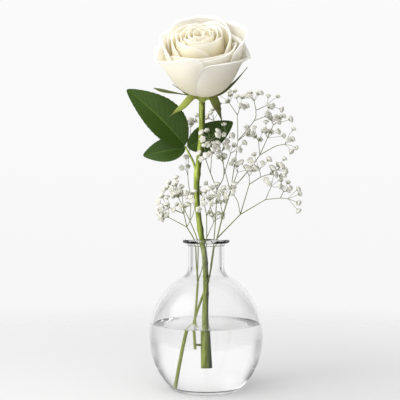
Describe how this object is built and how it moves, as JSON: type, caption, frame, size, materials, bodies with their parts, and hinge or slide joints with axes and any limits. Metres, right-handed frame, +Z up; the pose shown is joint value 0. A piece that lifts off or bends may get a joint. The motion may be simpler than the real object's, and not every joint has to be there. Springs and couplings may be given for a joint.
{
  "type": "rose in vase",
  "caption": "Round glass bud vase, partly filled with water, holding a long-stemmed white rose with a leafy stalk and sprays of baby's breath.",
  "frame": {"origin": "centre of the vase's flat foot, on the surface it stands on", "axes": "+Z up through the vase's neck; -Y is the front, which the bloom leans towards; +X is to the right seen from the front"},
  "size_m": [0.1555, 0.1358, 0.3246],
  "materials": {
    "glass": "clear blown glass, thin wall, fire-polished lip",
    "water": "clear still water",
    "stem": "smooth waxy green stalk, lighter on one side",
    "sepal": "soft leafy green, brown at the thread-like tips",
    "petal": "velvety white petals, cream yellow in the folds",
    "leaf": "deep green leaf with fine veins and a slight wax sheen",
    "spray": "tiny off-white florets on thin grey-green twigs"
  },
  "bodies": {
    "root": {"vase": "glass", "water": "water", "rose_stem": "stem", "rose_calyx": "sepal", "rose_bloom": "petal", "leaflet_end": "leaf", "leaflet_left": "leaf", "leaflet_right": "leaf", "babys_breath_right": "spray", "babys_breath_left": "spray"}
  },
  "joints": []
}
